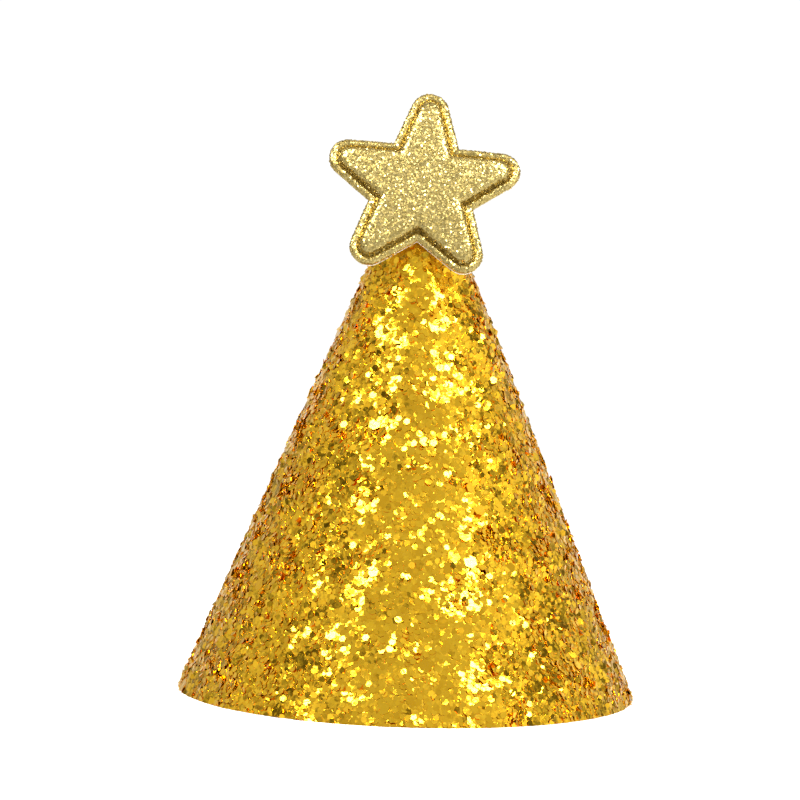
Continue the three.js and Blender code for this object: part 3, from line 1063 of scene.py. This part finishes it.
FLOOR_SIZE = 600.0  # millimetres from the hat to each side of the paper
FLOOR_CLEAR_FROM, FLOOR_CLEAR_TO = 0.10, 0.32  # metres over which the paper fades into the backdrop
TABLE_GLOW = 0.4  # the paper lies on a light table, which keeps shadows off it
ROOM_DARK, ROOM_LIGHT = 0.1, 1.0  # brightness of the room's darkest and lightest patches
ROOM_FRONT = 0.57  # its even brightness ahead of the hat and above
ROOM_FLOOR = 1.25  # its brightness below the horizon
BACKDROP = 1.05  # brightness that the camera sees behind the hat


def make_floor():
    """White paper that fades into the backdrop, and that isn't there when seen from below."""
    size = FLOOR_SIZE
    corners = [(-size, -size, 0), (size, -size, 0), (size, size, 0), (-size, size, 0)]
    floor = make_piece("floor", np.array(corners, float), np.array([[0, 1, 2, 3]]))
    look, tree = start_material("floor")
    paper = add_node(tree, "ShaderNodeBsdfDiffuse", {"Color": (0.93, 0.93, 0.93, 1)})
    glow = add_node(tree, "ShaderNodeEmission", {"Strength": TABLE_GLOW})
    lit_paper = add_node(tree, "ShaderNodeAddShader", {0: paper.outputs[0], 1: glow.outputs[0]})
    clear = add_node(tree, "ShaderNodeBsdfTransparent")
    behind = add_node(tree, "ShaderNodeNewGeometry").outputs["Backfacing"]
    reach = add_node(
        tree, "ShaderNodeVectorMath", {0: object_place(tree)}, operation="LENGTH"
    ).outputs["Value"]
    far = map_range(tree, reach, 0.0, 1.0, FLOOR_CLEAR_FROM, FLOOR_CLEAR_TO)
    gone = maths(tree, "MAXIMUM", behind, far)
    shaders = {0: gone, 1: lit_paper.outputs[0], 2: clear.outputs[0]}
    mix = add_node(tree, "ShaderNodeMixShader", shaders)
    end_material(tree, mix)
    floor.data.materials.append(look)
    floor.visible_glossy = False


def direction(azimuth, elevation):
    """Unit vector from the hat, with azimuth 0 at the front and 90 at the hat's left, +X."""
    a, e = math.radians(azimuth), math.radians(elevation)
    return Vector((math.sin(a) * math.cos(e), -math.cos(a) * math.cos(e), math.sin(e)))


def make_light(name, azimuth, elevation, distance, size, radiance):
    """A soft box facing the hat. radiance is how bright its front looks."""
    data = bpy.data.lights.new(name, "AREA")
    data.shape = "RECTANGLE"
    data.size, data.size_y = size
    data.energy = radiance * math.pi * size[0] * size[1]
    light = bpy.data.objects.new(name, data)
    scene.collection.objects.link(light)
    out = direction(azimuth, elevation)
    light.location = Vector((0, 0, CONE_HEIGHT / 2 * MM)) + out * distance
    light.rotation_mode = "QUATERNION"
    light.rotation_quaternion = out.to_track_quat("Z", "Y")
    light.visible_camera = False


def facing(tree, place, azimuth, elevation):
    """How nearly a direction points the given way, from -1 for opposite to 1 for the same."""
    inputs = {0: place, 1: direction(azimuth, elevation)}
    return add_node(tree, "ShaderNodeVectorMath", inputs, operation="DOT_PRODUCT").outputs["Value"]


def make_world():
    """A white backdrop to look at, and a room with lighter and darker walls for the foil to reflect."""
    world = bpy.data.worlds.new("studio")
    scene.world = world
    world.use_nodes = True
    tree = world.node_tree
    tree.nodes.clear()
    towards = add_node(tree, "ShaderNodeTexCoord").outputs["Generated"]
    walls = noise_value(tree, towards, 3.0, 3.0)
    room = map_range(tree, walls, ROOM_DARK, ROOM_LIGHT, 0.4, 0.56)
    front = map_range(tree, facing(tree, towards, 6, 36), 0, 1, 0.74, 0.94)
    room = add_node(tree, "ShaderNodeMix", {0: front, 2: room, 3: ROOM_FRONT}).outputs[0]
    below = map_range(tree, facing(tree, towards, 0, -90), 0, 1, 0.0, 0.3)
    room = add_node(tree, "ShaderNodeMix", {0: below, 2: room, 3: ROOM_FLOOR}).outputs[0]
    side = map_range(tree, facing(tree, towards, 80, 25), 0.7, 1.32, -1.0, 1.0)
    lit = maths(tree, "MULTIPLY", room, side)
    seen = add_node(tree, "ShaderNodeLightPath").outputs["Is Camera Ray"]
    strength = add_node(tree, "ShaderNodeMix", {0: seen, 2: lit, 3: BACKDROP}).outputs[0]
    background = add_node(
        tree, "ShaderNodeBackground", {"Color": (1, 1, 1, 1), "Strength": strength}
    )
    output = add_node(tree, "ShaderNodeOutputWorld")
    tree.links.new(background.outputs[0], output.inputs["Surface"])


def make_studio():
    scene.view_settings.view_transform = "Standard"
    make_floor()
    make_world()
    make_light("box_left", -48, 50, distance=0.34, size=(0.115, 0.12), radiance=25)
    make_light("box_right", 50, 48, distance=0.34, size=(0.12, 0.125), radiance=27)


# --- The hat --------------------------------------------------------------------------------------


def make_hat():
    gold = flake_material("gold_flakes", (0.86, 0.47, 0.015), (0.99, 0.6, 0.026), 0.16, (0.08, 0.19))
    gold_ground = glitter_ground_material(
        "gold_ground", (0.8, 0.44, 0.02), (0.9, 0.57, 0.03), cell=0.7, coat=0.2, steepness=0.5
    )
    pale = flake_material("pale_gold_flakes", (0.41, 0.3, 0.08), (0.64, 0.51, 0.2), 0.15, (0.2, 0.36))
    pale_ground = glitter_ground_material(
        "pale_gold_ground", (0.42, 0.31, 0.08), (0.62, 0.48, 0.17), cell=0.28, coat=0.15, steepness=0.36
    )
    backing = woven_material("backing_cloth", (0.82, 0.78, 0.68), (0.6, 0.55, 0.45), 0.0004, 0.00008)
    # The cover's cut edge is dark brown: partly the edge's own colour, partly painted shade under the
    # fabric's edge.
    cut_edge_with_painted_shade = woven_material("cut_edge_with_painted_shade", (0.5, 0.36, 0.12), (0.25, 0.16, 0.05), 0.0003, 0.0001)
    ribbon = woven_material("ribbon", (0.88, 0.85, 0.77), (0.7, 0.66, 0.57), 0.00022, 0.00003)
    felt = felt_material("felt", (0.86, 0.82, 0.73), (0.7, 0.66, 0.57))
    card, glue, tape, foam = card_material(), glue_material(), tape_material(), foam_material()

    flakes = make_cone_flakes(gold)
    make_cover(gold_ground, backing, cut_edge_with_painted_shade)
    make_card(card)

    dome, middle = star_dome()
    rings, top = make_star_face(dome, middle, pale_ground)
    make_star_flakes(rings, top, pale)
    make_star_padding(dome, middle, foam)
    make_star_back(felt)

    make_glue("glue_in_tip", "tip_glue", glue, 0.15, 41)
    make_glue("glue_behind_star", "star_glue", glue, 0.15, 42)

    for side, towards in (("right", 0.0), ("left", math.pi)):
        make_loop(side, towards, ribbon)
        make_patch(side, towards, felt)

    for node in ("cover_seam_tape", "card_seam_tape"):
        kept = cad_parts[node]
        kept.data.materials.clear()
        kept.data.materials.append(tape)


make_camera()
make_studio()
make_hat()
